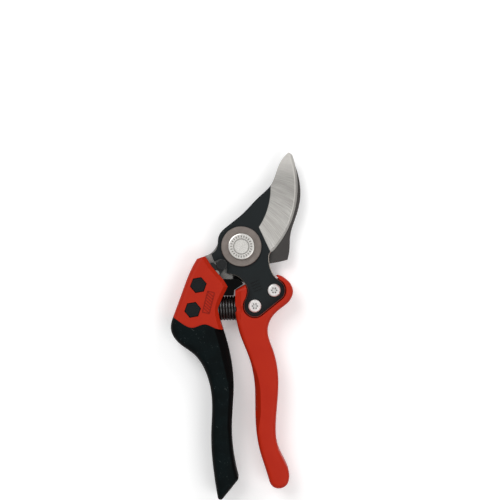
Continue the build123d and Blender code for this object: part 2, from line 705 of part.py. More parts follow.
with BuildPart() as fixed_spring_seat:
    with BuildSketch(Plane((fixed_seat_x, spring_y, mid), x_dir=(0, 1, 0), z_dir=(1, 0, 0))):
        Circle(seat_r)
    extrude(amount=seat_flange_t)
    with BuildSketch(Plane((fixed_seat_top, spring_y, mid), x_dir=(0, 1, 0), z_dir=(1, 0, 0))):
        Circle(peg_r)
    extrude(amount=seat_peg_h)
    fillet(fixed_spring_seat.faces().sort_by(Axis.X)[-1].edges(), seat_peg_round)
    with BuildSketch(Plane((fixed_seat_x, spring_y, mid), x_dir=(0, 1, 0), z_dir=(1, 0, 0))):
        Circle(seat_stem_r)
    extrude(amount=-seat_stem_h)
fixed_spring_seat.part.label = "fixed_spring_seat"
export_step(fixed_spring_seat.part, "parts/fixed_spring_seat.step")

with BuildPart() as moving_spring_seat:
    with BuildSketch(Plane((moving_seat_x, spring_y, mid), x_dir=(0, 1, 0), z_dir=(1, 0, 0))):
        Circle(seat_r)
    extrude(amount=-seat_flange_t)
    with BuildSketch(Plane((moving_seat_top, spring_y, mid), x_dir=(0, 1, 0), z_dir=(1, 0, 0))):
        Circle(peg_r)
    extrude(amount=-seat_peg_h)
    fillet(moving_spring_seat.faces().sort_by(Axis.X)[0].edges(), seat_peg_round)
    with BuildSketch(Plane((moving_seat_x, spring_y, mid), x_dir=(0, 1, 0), z_dir=(1, 0, 0))):
        Circle(seat_stem_r)
    extrude(amount=seat_stem_h)
moving_spring_seat.part.label = "moving_spring_seat"
export_step(moving_spring_seat.part, "parts/moving_spring_seat.step")

coil_start = fixed_seat_top + wire_r
coil_length = moving_seat_top - wire_r - coil_start
coil_mean_r = spring_r - wire_r
with BuildPart() as coil_spring:
    with BuildLine():
        coil = Helix(coil_pitch, coil_length, coil_mean_r,
                     center=(coil_start, spring_y, mid), direction=(1, 0, 0))
    with BuildSketch(Plane(coil @ 0, z_dir=coil % 0)):
        Circle(wire_r)
    sweep()
coil_spring.part.label = "coil_spring"
export_step(coil_spring.part, "parts/coil_spring.step")

# ---- bump stop between the two handles ----
with BuildSketch() as hook_shadow:
    add(hook_outline.sketch.moved(Location((0, 0, -hook_back))))
    with BuildLine():
        Polyline(*stop_tab, close=True)
    make_face()

with BuildPart() as bump_stop:
    with BuildSketch(Plane.XY.offset(stop_level)):
        with BuildLine():
            Polyline((-14.0, -18.5), (-14.0, -27.7), (-4.35, -27.7), (-4.05, -24.6), (1.0, -21.3),
                     (0.3, -20.2), (-2.0, -18.5), close=True)
        make_face()
        add(fixed_outline.sketch, mode=Mode.SUBTRACT)
    extrude(amount=handle_thick - 2 * stop_level)
    with BuildSketch(Plane.XY.offset(stop_level)):
        with BuildLine():
            Polyline((-8.0, -18.5), (-5.6, -16.4), (0.4, -14.2), (4.6, -14.8), (5.0, -19.4), (1.4, -20.5),
                     (-2.0, -18.8), close=True)
        make_face()
    extrude(amount=blade_back - free_gap - stop_level)
    with BuildSketch(Plane.XY.offset(hook_back)):
        add(hook_shadow.sketch)
    extrude(amount=hook_thick, mode=Mode.SUBTRACT)
bump_stop.part.label = "bump_stop"
export_step(bump_stop.part, "parts/bump_stop.step")

# ---- thumb catch: knob, arm and the tooth that drops into the blade's notch ----
thumb_rib_r = knob_r - thumb_rib_inset
with BuildPart() as lock_catch:
    with BuildSketch(Plane.XY.offset(arm_z)):
        with BuildSketch(mode=Mode.PRIVATE) as tooth_arm:
            with Locations(lock_at):
                Circle(lock_hub_r)
            with Locations(tooth_at):
                Circle(tooth_r + tooth_wall)
            make_hull()
        with BuildSketch(mode=Mode.PRIVATE) as knob_arm:
            with Locations(lock_at):
                Circle(lock_hub_r)
            with Locations(knob_at):
                Circle(knob_r - knob_lip)
            make_hull()
        add(tooth_arm.sketch)
        add(knob_arm.sketch)
    extrude(amount=lock_arm_t)
    with BuildSketch(Plane.XY.offset(arm_z)):
        with Locations(knob_at):
            Circle(knob_r)
    extrude(amount=knob_h)
    fillet(lock_catch.faces().sort_by(Axis.Z)[-1].edges(), edge_round)
    with BuildSketch(Plane.XY.offset(arm_z + knob_h)):
        with Locations(knob_at):
            Circle(thumb_rib_r)
        with Locations(shifted(knob_at, thumb_rib_w, knob_bearing)):
            Circle(thumb_rib_r, mode=Mode.SUBTRACT)
    extrude(amount=thumb_rib_h)
    with BuildSketch(Plane.XY.offset(arm_z + knob_h)):
        with Locations(shifted(knob_at, thumb_rib_w, knob_bearing)):
            Circle(dish_r)
    extrude(amount=-dish_depth, mode=Mode.SUBTRACT)
    with BuildSketch(Plane.XY.offset(blade_back + free_gap)):
        with Locations(lock_at):
            Circle(lock_hub_r)
        with Locations(tooth_at):
            Circle(tooth_r)
    extrude(amount=arm_z - blade_back - free_gap)
    with BuildSketch(Plane.XY.offset(blade_back)):
        with Locations(lock_at):
            Circle(lock_pin_r + run_gap)
    extrude(amount=arm_top - blade_back, mode=Mode.SUBTRACT)
lock_catch.part.label = "lock_catch"
export_step(lock_catch.part, "parts/lock_catch.step")

with BuildPart() as lock_pin:
    with BuildSketch(Plane.XY.offset(hook_back)):
        with Locations(lock_at):
            Circle(lock_pin_r)
    extrude(amount=arm_top + run_gap - hook_back)
    with BuildSketch(Plane.XY.offset(arm_top + run_gap)):
        with Locations(lock_at):
            Circle(lock_pin_head_r)
    extrude(amount=lock_pin_head_h)
lock_pin.part.label = "lock_pin"
export_step(lock_pin.part, "parts/lock_pin.step")
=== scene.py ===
import bpy
import bmesh
import math
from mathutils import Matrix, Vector
from mathutils.bvhtree import BVHTree


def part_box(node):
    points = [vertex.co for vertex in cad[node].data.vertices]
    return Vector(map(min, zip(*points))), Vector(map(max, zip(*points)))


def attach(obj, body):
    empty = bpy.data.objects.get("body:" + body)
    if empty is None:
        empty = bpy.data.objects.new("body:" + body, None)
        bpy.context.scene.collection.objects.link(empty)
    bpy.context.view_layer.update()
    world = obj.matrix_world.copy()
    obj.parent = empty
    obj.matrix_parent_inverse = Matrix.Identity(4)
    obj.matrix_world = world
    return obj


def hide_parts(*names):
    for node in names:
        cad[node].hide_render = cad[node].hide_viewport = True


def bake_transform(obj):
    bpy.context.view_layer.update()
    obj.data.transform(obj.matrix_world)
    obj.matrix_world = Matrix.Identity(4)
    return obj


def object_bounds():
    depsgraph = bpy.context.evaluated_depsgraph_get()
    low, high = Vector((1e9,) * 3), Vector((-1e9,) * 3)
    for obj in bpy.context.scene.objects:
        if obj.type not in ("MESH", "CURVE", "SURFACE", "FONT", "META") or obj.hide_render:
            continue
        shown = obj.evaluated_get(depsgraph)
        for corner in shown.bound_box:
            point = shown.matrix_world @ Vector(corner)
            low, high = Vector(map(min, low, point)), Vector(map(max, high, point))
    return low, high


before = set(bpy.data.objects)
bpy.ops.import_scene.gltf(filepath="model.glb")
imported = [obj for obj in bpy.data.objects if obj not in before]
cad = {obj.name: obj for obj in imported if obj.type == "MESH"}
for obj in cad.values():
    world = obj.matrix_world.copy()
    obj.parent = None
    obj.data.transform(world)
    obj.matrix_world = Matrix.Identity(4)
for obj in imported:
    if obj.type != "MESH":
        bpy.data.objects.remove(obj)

cad_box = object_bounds()
MM = 0.001

# ---- places taken from the frame ----
blade_hi = Vector(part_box("blade")[1])
moving_lo = Vector(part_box("moving_handle")[0])
grip_lo = Vector(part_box("soft_grip")[0])
spring_lo, spring_hi = [Vector(c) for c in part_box("coil_spring")]
mid_z = (spring_lo.z + spring_hi.z) / 2

# The cutting edge is an arc; the grinding wheel's broad band lies inside it.
edge_center = Vector((-23.5, 33.0, 0)) * MM
edge_r = 55.0 * MM
band_w = 15.0 * MM
run_out_a = Vector((9.9, 11.0, 0)) * MM
run_out_b = Vector((16.4, -2.8, 0)) * MM


# ---------------------------------------------------------------- shader helpers
class Graph:
    """A material's node tree, with short calls for the nodes that the finishes share."""

    def __init__(self, name):
        self.mat = bpy.data.materials.new(name)
        self.mat.use_nodes = True
        self.tree = self.mat.node_tree
        self.tree.nodes.clear()
        self.out = self.tree.nodes.new("ShaderNodeOutputMaterial")
        self.shader = self.tree.nodes.new("ShaderNodeBsdfPrincipled")
        self.tree.links.new(self.shader.outputs["BSDF"], self.out.inputs["Surface"])
        self.place = self.tree.nodes.new("ShaderNodeTexCoord").outputs["Object"]
        self.xyz = self.node("ShaderNodeSeparateXYZ", Vector=self.place).outputs

    def node(self, kind, **inputs):
        made = self.tree.nodes.new(kind)
        for key, value in inputs.items():
            self.feed(made.inputs[key.replace("_", " ")], value)
        return made

    def feed(self, socket, value):
        if isinstance(value, bpy.types.NodeSocket):
            self.tree.links.new(value, socket)
        else:
            socket.default_value = value

    def set(self, **inputs):
        for key, value in inputs.items():
            self.feed(self.shader.inputs[key.replace("_", " ")], value)

    def math(self, kind, a, b=0.0):
        made = self.tree.nodes.new("ShaderNodeMath")
        made.operation = kind
        self.feed(made.inputs[0], a)
        self.feed(made.inputs[1], b)
        return made.outputs[0]

    def ramp(self, value, low, high):
        """0 at low, 1 at high, smooth between."""
        made = self.node("ShaderNodeMapRange", Value=value, From_Min=low, From_Max=high)
        made.interpolation_type = "SMOOTHSTEP"
        return made.outputs["Result"]

    def span(self, value, low, high):
        """A 0 to 1 value spread between two numbers."""
        return self.node("ShaderNodeMapRange", Value=value, To_Min=low, To_Max=high).outputs["Result"]

    def mix(self, share, a, b):
        made = self.tree.nodes.new("ShaderNodeMix")
        made.data_type = "RGBA"
        ends = [s for s in made.inputs if s.name in ("A", "B") and s.type == "RGBA"]
        for socket, value in zip(ends, (a, b)):
            self.feed(socket, value)
        self.feed(made.inputs[0], share)
        return [s for s in made.outputs if s.type == "RGBA"][0]

    def distance(self, center):
        """How far a point of the surface is from an upright axis."""
        flat = self.node("ShaderNodeCombineXYZ", X=self.xyz["X"], Y=self.xyz["Y"]).outputs[0]
        made = self.tree.nodes.new("ShaderNodeVectorMath")
        made.operation = "DISTANCE"
        self.feed(made.inputs[0], flat)
        self.feed(made.inputs[1], (center.x, center.y, 0))
        return made.outputs["Value"]

    def side(self, a, b):
        """Metres to the left of the line from a to b."""
        along = (b - a).normalized()
        made = self.tree.nodes.new("ShaderNodeVectorMath")
        made.operation = "DOT_PRODUCT"
        self.feed(made.inputs[0], self.place)
        self.feed(made.inputs[1], (-along.y, along.x, 0))
        return self.math("SUBTRACT", made.outputs["Value"], a.x * -along.y + a.y * along.x)

    def noise(self, feature_mm, detail=3.0, rough=0.55, stretch=(1, 1, 1), turn=0.0):
        mapping = self.node("ShaderNodeMapping", Vector=self.place, Scale=stretch, Rotation=(0, 0, turn))
        mapping.vector_type = "TEXTURE"
        return self.node("ShaderNodeTexNoise", Vector=mapping.outputs["Vector"], Scale=1 / (feature_mm * MM),
                         Detail=detail, Roughness=rough).outputs["Fac"]

    def rings(self, center, pitch_mm):
        """Turned rings round an upright axis, as a wavy 0 to 1 value."""
        wobble = self.math("MULTIPLY", self.noise(2.5, 2), 0.15 * MM)
        radius = self.math("ADD", self.distance(center), wobble)
        wave = self.math("SINE", self.math("MULTIPLY", radius, 2 * math.pi / (pitch_mm * MM)))
        return self.span(self.math("MULTIPLY", self.math("ADD", wave, 1.0), 0.5), 0.0, 1.0)

    def bump(self, height, depth_mm, strength=1.0):
        return self.node("ShaderNodeBump", Height=height, Distance=depth_mm * MM,
                         Strength=strength).outputs["Normal"]

    def lean(self):
        """How far a face looks up: 1 on a level face, 0 on an upright wall."""
        normal = self.tree.nodes.new("ShaderNodeNewGeometry").outputs["Normal"]
        return self.node("ShaderNodeSeparateXYZ", Vector=normal).outputs["Z"]


def rgb(r, g, b):
    """A display colour, 0 to 255, as the linear colour that the shader takes."""
    def linear(c):
        c = min(c, 255) / 255
        return c / 12.92 if c <= 0.04045 else ((c + 0.055) / 1.055) ** 2.4
    return (linear(r), linear(g), linear(b), 1.0)


def shade(colour, share):
    return tuple(c * share for c in colour)


RED_LOW = rgb(171, 30, 6)
RED_HIGH = rgb(180, 38, 10)
STEEL_LOW = rgb(152, 150, 146)
STEEL_HIGH = rgb(186, 184, 180)
COAT = (13, 21, 23)
RUBBER = (5, 12, 13)


def wear(node, material):
    """Gives a CAD node its finish."""
    slots = cad[node].data.materials
    slots.clear()
    slots.append(material)


# ---------------------------------------------------------------- finishes
def moulded_red(name, panel_z=None):
    """Satin orange-red plastic: fine moulding grain, faint flow clouds, scuffs, and painted shade in the
    corners.
    """
    g = Graph(name)
    grain = g.noise(0.3, 4, 0.6)
    cloud = g.span(g.noise(9, 2), 0.0, 1.0)
    scuff = g.ramp(g.noise(0.5, 5, 0.75, stretch=(1, 5, 1), turn=0.5), 0.7, 0.8)
    base = g.mix(cloud, RED_LOW, RED_HIGH)
    base = g.mix(g.math("MULTIPLY", scuff, 0.28), base, rgb(216, 110, 84))
    # Painted shade: the red darkens toward deep red where the surface is occluded, in corners and grooves.
    occlusion = g.node("ShaderNodeAmbientOcclusion", Distance=2.2 * MM).outputs["AO"]
    base = g.mix(g.ramp(occlusion, 0.5, 0.08), base, rgb(58, 8, 3))
    if panel_z:
        raised = g.ramp(g.xyz["Z"], panel_z + 0.03 * MM, panel_z + 0.12 * MM)
        base = g.mix(g.math("MULTIPLY", raised, 0.75), base, rgb(118, 16, 5))
    g.set(Base_Color=base, Roughness=g.span(grain, 0.4, 0.54), Specular_IOR_Level=0.16,
          Normal=g.bump(grain, 0.05, 0.5))
    return g.mat


def elastomer(name, colour, dusty=1.0):
    """Black rubber with a pebbled skin, pale dust specks, a few light scratches and painted shade on its
    tilted faces.
    """
    g = Graph(name)
    grain = g.noise(0.32, 5, 0.7)
    specks = g.ramp(g.noise(0.8, 4, 0.75), 0.63, 0.7)
    patches = g.ramp(g.noise(9, 3), 0.4, 0.62)
    scratch = g.ramp(g.noise(0.7, 3, 0.6, stretch=(1, 8, 1), turn=0.9), 0.68, 0.73)
    marks = g.math("MULTIPLY", g.math("MAXIMUM", specks, scratch), patches)
    base = g.mix(g.math("MULTIPLY", patches, 0.35), rgb(*colour), rgb(*shade(colour, 1.9)))
    base = g.mix(g.math("MULTIPLY", marks, 0.7 * dusty), base, rgb(96, 102, 102))
    lean = g.lean()
    # Painted shade: faces that tilt away from level, such as the grip's facets, are darkened toward near
    # black.
    base = g.mix(g.math("MULTIPLY", g.ramp(lean, 0.9, 0.75), 0.75), base, rgb(2, 2, 2))
    g.set(Base_Color=base, Roughness=g.span(grain, 0.46, 0.7), Normal=g.bump(grain, 0.09, 0.8),
          Specular_IOR_Level=0.06, Sheen_Weight=0.02, Sheen_Roughness=0.5)
    return g.mat


def coated(name, colour, roughness=0.5, gloss=0.3):
    """Baked black coat: orange-peel grain and soft tone changes."""
    g = Graph(name)
    grain = g.noise(0.35, 5, 0.65)
    base = g.mix(g.noise(7, 3), rgb(*shade(colour, 0.86)), rgb(*shade(colour, 1.14)))
    g.set(Base_Color=base, Roughness=g.span(grain, roughness - 0.09, roughness + 0.09),
          Specular_IOR_Level=gloss, Normal=g.bump(grain, 0.05, 0.6))
    return g.mat


def bare_steel(name, colour=(150, 148, 144), low=0.24, high=0.4, turn=0.6):
    """Machined metal: drawn lines one way, cloudy tone."""
    g = Graph(name)
    lines = g.noise(0.25, 3, 0.6, stretch=(1, 14, 1), turn=turn)
    base = g.mix(g.noise(5, 3), rgb(*shade(colour, 0.88)), rgb(*shade(colour, 1.1)))
    g.set(Base_Color=base, Metallic=1.0, Roughness=g.span(lines, low, high), Normal=g.bump(lines, 0.02, 0.5))
    return g.mat


def turned_steel(name, colour, pitch_mm, low=0.22, high=0.38, center=Vector((0, 0, 0)), painted_shade=0.0):
    """Faced on a lathe: fine rings round an axis, with painted shade where faces meet."""
    g = Graph(name)
    ring = g.rings(center, pitch_mm)
    base = g.mix(g.noise(3, 3), rgb(*shade(colour, 0.88)), rgb(*shade(colour, 1.1)))
    base = g.mix(g.math("MULTIPLY", ring, 0.25), base, rgb(*shade(colour, 0.62)))
    if painted_shade:
        # Painted shade: darkened where the surface is occluded, where faces meet.
        occlusion = g.node("ShaderNodeAmbientOcclusion", Distance=0.8 * MM).outputs["AO"]
        base = g.mix(g.math("MULTIPLY", g.ramp(occlusion, 0.85, 0.3), painted_shade), base, rgb(30, 28, 27))
    g.set(Base_Color=base, Metallic=1.0, Roughness=g.span(ring, low, high), Normal=g.bump(ring, 0.03, 0.5))
    return g.mat


def bolt_finish(name):
    """Bright turned head; its raised index marks hold dark oxide, and painted shade darkens its recesses."""
    g = Graph(name)
    ring = g.rings(Vector((0, 0, 0)), 0.55)
    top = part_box("pivot_bolt")[1].z
    raised = g.ramp(g.xyz["Z"], top - 0.15 * MM, top - 0.05 * MM)
    patina = g.ramp(g.noise(1.1, 4, 0.7), 0.3, 0.7)
    bright = g.mix(g.noise(2.2, 4), rgb(212, 209, 204), rgb(242, 240, 235))
    base = g.mix(g.math("MULTIPLY", raised, g.span(patina, 0.55, 0.95)), bright, rgb(96, 92, 86))
    # Painted shade: darkened where the surface is occluded, round the marks and in recesses.
    occlusion = g.node("ShaderNodeAmbientOcclusion", Distance=0.7 * MM).outputs["AO"]
    base = g.mix(g.ramp(occlusion, 0.8, 0.25), base, rgb(40, 38, 36))
    g.set(Base_Color=base, Metallic=0.7, Roughness=g.span(ring, 0.2, 0.36), Normal=g.bump(ring, 0.03, 0.5))
    return g.mat


def blade_finish(name):
    """Black coat, ground off in one band along the edge and worn off the corners."""
    g = Graph(name)
    radius = g.distance(edge_center)
    in_band = g.ramp(radius, edge_r - band_w - 0.1 * MM, edge_r - band_w + 0.25 * MM)
    past_run_out = g.ramp(g.side(run_out_a, run_out_b), -0.15 * MM, 0.15 * MM)
    ground = g.math("MULTIPLY", in_band, past_run_out)
    lean = g.lean()
    corner = g.math("MULTIPLY", g.ramp(lean, 0.2, 0.5), g.ramp(lean, 0.97, 0.9))
    corner = g.math("MULTIPLY", corner, g.ramp(g.noise(2.4, 5, 0.7), 0.22, 0.42))
    wiped = g.math("MULTIPLY", g.ramp(g.noise(0.8, 6, 0.8), 0.66, 0.8), 0.35)

    # Grinding lines run across the band, square to the edge.
    east = g.math("SUBTRACT", g.xyz["X"], edge_center.x)
    north = g.math("SUBTRACT", g.xyz["Y"], edge_center.y)
    bearing = g.math("MULTIPLY", g.math("ARCTAN2", north, east), edge_r)
    along = g.math("ADD", bearing, g.math("MULTIPLY", radius, 0.45))
    spun = g.node("ShaderNodeCombineXYZ", X=along, Y=g.math("MULTIPLY", radius, 0.045)).outputs[0]
    lines = g.node("ShaderNodeTexNoise", Vector=spun, Scale=1 / (0.55 * MM), Detail=5.0,
                   Roughness=0.7).outputs["Fac"]
    broad = g.node("ShaderNodeTexNoise", Vector=spun, Scale=1 / (4.5 * MM), Detail=2.0).outputs["Fac"]
    steel = g.mix(g.ramp(lines, 0.3, 0.72), STEEL_LOW, STEEL_HIGH)
    steel = g.mix(g.math("MULTIPLY", g.ramp(broad, 0.4, 0.7), 0.3), steel, rgb(138, 134, 129))
    tip_near = g.ramp(g.xyz["Y"], blade_hi.y - 17 * MM, blade_hi.y - 3 * MM)
    pits = g.math("MULTIPLY", g.ramp(g.noise(0.8, 4, 0.75), 0.62, 0.7), g.math("MULTIPLY", tip_near, 0.6))
    steel = g.mix(g.math("MULTIPLY", tip_near, 0.7), steel, rgb(222, 219, 214))
    steel = g.mix(pits, steel, rgb(96, 90, 84))
    honed = g.ramp(radius, edge_r - 1.5 * MM, edge_r - 1.2 * MM)
    steel = g.mix(g.math("MULTIPLY", honed, 0.6), steel, rgb(214, 211, 205))

    coat = g.mix(g.noise(6, 4), rgb(*shade(COAT, 0.86)), rgb(*shade(COAT, 1.16)))
    coat = g.mix(wiped, coat, rgb(88, 88, 86))
    # Painted shade: the coat darkens where the surface is occluded, in recesses and beside raised parts.
    occlusion = g.node("ShaderNodeAmbientOcclusion", Distance=1.0 * MM).outputs["AO"]
    coat = g.mix(g.ramp(occlusion, 0.75, 0.25), coat, rgb(16, 18, 19))
    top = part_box("blade")[1].z
    engraved = g.math("MULTIPLY", g.ramp(g.xyz["Z"], top - 0.04 * MM, top - 0.12 * MM),
                      g.ramp(g.xyz["Z"], top - 0.4 * MM, top - 0.3 * MM))
    coat = g.mix(g.math("MULTIPLY", engraved, 0.8), coat, rgb(3, 5, 6))
    coat = g.mix(corner, coat, rgb(196, 186, 176))
    base = g.mix(ground, coat, steel)
    metal = g.math("MAXIMUM", ground, corner)
    grain = g.noise(0.35, 5, 0.65)
    height = g.math("ADD", g.math("MULTIPLY", grain, g.math("SUBTRACT", 1.0, ground)),
                    g.math("MULTIPLY", lines, g.math("MULTIPLY", ground, 0.8)))
    rough = g.math("SUBTRACT", g.span(grain, 0.46, 0.62), g.math("MULTIPLY", metal, 0.16))
    g.set(Base_Color=base, Metallic=g.math("MULTIPLY", metal, 0.85), Roughness=rough,
          Specular_IOR_Level=0.22, Normal=g.bump(height, 0.05, 0.6))
    return g.mat


def hook_finish(name):
    """Black coat, with the sliding face beside the pivot rubbed to bare steel."""
    g = Graph(name)
    face = g.ramp(g.xyz["Z"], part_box("hook")[1].z - 0.2 * MM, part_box("hook")[1].z - 0.05 * MM)
    beside = g.ramp(g.xyz["X"], -4.6 * MM, -5.4 * MM)
    above = g.ramp(g.xyz["Y"], -24 * MM, -23 * MM)
    bare = g.math("MULTIPLY", face, g.math("MULTIPLY", beside, above))
    rub = g.rings(Vector((0, 0, 0)), 0.8)
    grain = g.noise(0.35, 5, 0.65)
    coat = g.mix(g.noise(6, 4), rgb(36, 33, 31), rgb(52, 48, 45))
    steel = g.mix(rub, rgb(128, 126, 123), rgb(164, 162, 159))
    g.set(Base_Color=g.mix(bare, coat, steel), Metallic=g.math("MULTIPLY", bare, 0.9),
          Roughness=g.math("SUBTRACT", g.span(grain, 0.46, 0.62), g.math("MULTIPLY", bare, 0.14)),
          Normal=g.bump(grain, 0.05, 0.6))
    return g.mat


finishes = {
    "fixed_handle": moulded_red("fixed_handle_red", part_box("moving_handle")[1].z),
    "moving_handle": moulded_red("moving_handle_red"),
    "soft_grip": elastomer("grip_elastomer", RUBBER),
    "bump_stop": elastomer("stop_rubber", (1, 1, 1), dusty=0.1),
    "blade": blade_finish("blade_coat_and_grind"),
    "hook": hook_finish("hook_coat"),
    "pivot_bolt": bolt_finish("bolt_bright"),
    "front_washer": turned_steel("washer_turned", (142, 133, 127), 0.75, 0.3, 0.46, painted_shade=0.8),
    "back_washer": turned_steel("back_washer_turned", (140, 136, 130), 0.7),
    "pivot_nut": bare_steel("nut_zinc", (168, 166, 160), 0.3, 0.45),
    "nut_lock_plate": bare_steel("lock_plate_zinc", (158, 156, 150), 0.32, 0.5, turn=1.2),
    "nut_lock_screw": bare_steel("lock_screw_zinc", (176, 174, 168)),
    "pivot_bush": bare_steel("bush_bronze", (172, 128, 78)),
    "lock_pin": bare_steel("pin_steel", (150, 148, 145)),
    "screw_inserts": bare_steel("insert_brass", (188, 150, 84)),
    "handle_nuts": coated("nut_black", (38, 44, 45), 0.42),
    "coil_spring": coated("spring_black", (24, 21, 20), 0.26, gloss=0.7),
    "lock_catch": coated("catch_black", (7, 10, 11), 0.24, gloss=0.5),
    "fixed_spring_seat": coated("fixed_seat_nylon", (26, 27, 28), 0.55),
    "moving_spring_seat": coated("moving_seat_nylon", (24, 26, 26), 0.55),
    "screw_washers": moulded_red("washer_nylon_red"),
}
for node, finish in finishes.items():
    wear(node, finish)


HEAD_SIZES = {"blade_screws": 7.4, "handle_bolts": 9.0}          # across each head, mm


def pair_finish(name, node, colour, pitch_mm, metal, low, high, painted_shade):
    """Turned rings round each head of a pair, each point taking the nearer corner of the pair's box."""
    lo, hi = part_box(node)
    g = Graph(name)
    head_r = HEAD_SIZES[node] * MM / 2
    low_at = Vector((lo.x + head_r, lo.y + head_r, 0))
    high_at = Vector((hi.x - head_r, hi.y - head_r, 0))
    near = g.math("MINIMUM", g.distance(low_at), g.distance(high_at))
    wave = g.math("SINE", g.math("MULTIPLY", near, 2 * math.pi / (pitch_mm * MM)))
    ring = g.math("MULTIPLY", g.math("ADD", wave, 1.0), 0.5)
    base = g.mix(g.noise(2, 4), rgb(*shade(colour, 0.88)), rgb(*shade(colour, 1.1)))
    base = g.mix(g.math("MULTIPLY", ring, 0.22), base, rgb(*shade(colour, 0.7)))
    # Painted shade: darkened where the surface is occluded, round each head and in its recess.
    occlusion = g.node("ShaderNodeAmbientOcclusion", Distance=1.0 * MM).outputs["AO"]
    base = g.mix(g.math("MULTIPLY", g.ramp(occlusion, 0.8, 0.25), painted_shade), base, rgb(20, 20, 20))
    grain = g.noise(0.4, 5, 0.7)
    g.set(Base_Color=base, Metallic=metal, Roughness=g.span(grain, low, high), Specular_IOR_Level=0.18,
          Normal=g.bump(g.math("ADD", ring, grain), 0.03, 0.6))
    return g.mat


wear("blade_screws", pair_finish("screw_zinc", "blade_screws", (244, 242, 238), 0.9, 0.4, 0.24, 0.42, 0.9))
wear("handle_bolts", pair_finish("bolt_black", "handle_bolts", (11, 16, 18), 1.3, 0.0, 0.36, 0.52, 0.9))


# ---------------------------------------------------------------- handles with facets and crowned faces
FACET_SLOPE = 1.1           # a facet's fall for each unit of its width
SHARP_ANGLE = 24            # degrees between faces that stay a visible edge
WELD = 0.002 * MM
CLEAN_WELD = 0.004 * MM
FORM_ROW = 1.0 * MM
FORM_COLUMNS = 14
FORM_MARGIN = 3 * MM        # the form reaches this far past the handle's ends and its inner wall
FORM_OVERHANG = 12 * MM     # and this far past its outer wall
FACET_ROUND = 0.3 * MM      # width of the soft step between facet and face
FACET_PAST_WALL = 0.5 * MM  # the facet keeps falling this far outside the wall
CLAMP = 4 * MM              # walls are read no nearer to a handle's end than this
RAY_START = 0.2             # metres outside the part, where the rays begin


def solid_copy(node, name):
    """A closed, welded copy of a CAD node's mesh, ready to be carved."""
    mesh = cad[node].data.copy()
    mesh.name = name
    work = bmesh.new()
    work.from_mesh(mesh)
    bmesh.ops.remove_doubles(work, verts=work.verts, dist=WELD)
    bmesh.ops.recalc_face_normals(work, faces=work.faces)
    work.to_mesh(mesh)
    work.free()
    piece = bpy.data.objects.new(name, mesh)
    bpy.context.scene.collection.objects.link(piece)
    return piece


def edge_finder(node, toward):
    """x of a handle's side wall at half thickness, by height: toward is the way that the ray looks."""
    mesh = cad[node].data
    tree = BVHTree.FromPolygons([v.co for v in mesh.vertices], [p.vertices for p in mesh.polygons])
    start = -toward * RAY_START

    def find(y):
        hit = tree.ray_cast(Vector((start, y, mid_z)), Vector((toward, 0, 0)))[0]
        return hit.x if hit else None
    return find


def smooth_step(value, low, high):
    share = min(1.0, max(0.0, (value - low) / (high - low)))
    return share * share * (3 - 2 * share)


def carve(node, body, inner_side, facet, crown, clamp_low, clamp_high):
    """Trims a handle's two faces to a slightly crowned shape with a facet along its inner edge.

    inner_side is +1 where the edge that faces the other handle is on the right, and -1 on the left.
    facet(y) is the facet's width in plan; crown(y) how far the face falls away to its sides.
    """
    lo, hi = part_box(node)
    find_inner = edge_finder(node, -inner_side)
    find_outer = edge_finder(node, inner_side)
    rows = int((hi.y - lo.y + 2 * FORM_MARGIN) / FORM_ROW) + 1
    verts = []
    per_row = FORM_COLUMNS + 5
    for face_side in (1, -1):
        for r in range(rows):
            y = lo.y - FORM_MARGIN + r * FORM_ROW
            held = min(clamp_high, max(clamp_low, y))
            inner, outer = find_inner(held), find_outer(held)
            width = facet(y)
            span = abs(outer - inner)
            settled = width + FACET_ROUND
            stations = [-FORM_MARGIN, 0.0, width * 0.5, width, settled]
            stations += [settled + (span - width) * (c + 1) / FORM_COLUMNS for c in range(FORM_COLUMNS - 1)]
            stations.append(span + FORM_OVERHANG)
            for t in stations:
                fall = max(0.0, width - max(t, -FACET_PAST_WALL)) * FACET_SLOPE
                across = min(1.2, max(-1.2, 2 * t / span - 1))
                fall += crown(y) * across ** 4
                z = hi.z - fall if face_side > 0 else lo.z + fall
                verts.append((inner - inner_side * t, y, z))
    shift = rows * per_row
    faces = []
    for r in range(rows - 1):
        for c in range(per_row - 1):
            a = r * per_row + c
            faces.append((a, a + 1, a + per_row + 1, a + per_row))
            faces.append((shift + a, shift + a + per_row, shift + a + per_row + 1, shift + a + 1))
        for c in (0, per_row - 1):
            a, b = r * per_row + c, (r + 1) * per_row + c
            faces.append((a, b, shift + b, shift + a))
    for r in (0, rows - 1):
        for c in range(per_row - 1):
            a = r * per_row + c
            faces.append((a, a + 1, shift + a + 1, shift + a))
    mesh = bpy.data.meshes.new(node + "_form")
    mesh.from_pydata(verts, [], faces)
    work = bmesh.new()
    work.from_mesh(mesh)
    bmesh.ops.recalc_face_normals(work, faces=work.faces)
    work.to_mesh(mesh)
    work.free()
    form = bpy.data.objects.new(node + "_form", mesh)
    bpy.context.scene.collection.objects.link(form)

    piece = solid_copy(node, node + "_skin")
    trim = piece.modifiers.new("trim", "BOOLEAN")
    trim.operation = "INTERSECT"
    trim.solver = "EXACT"
    trim.object = form
    bpy.context.view_layer.update()
    shaped = bpy.data.meshes.new_from_object(piece.evaluated_get(bpy.context.evaluated_depsgraph_get()))
    piece.modifiers.clear()
    piece.data = shaped
    bpy.data.objects.remove(form)
    clean = bmesh.new()
    clean.from_mesh(shaped)
    bmesh.ops.remove_doubles(clean, verts=clean.verts, dist=CLEAN_WELD)
    bmesh.ops.dissolve_degenerate(clean, edges=clean.edges, dist=CLEAN_WELD)
    clean.to_mesh(shaped)
    clean.free()
    for polygon in shaped.polygons:
        polygon.use_smooth = True
    shaped.set_sharp_from_angle(angle=math.radians(SHARP_ANGLE))
    shaped.materials.clear()
    shaped.materials.append(finishes[node])
    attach(piece, body)
    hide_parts(node)


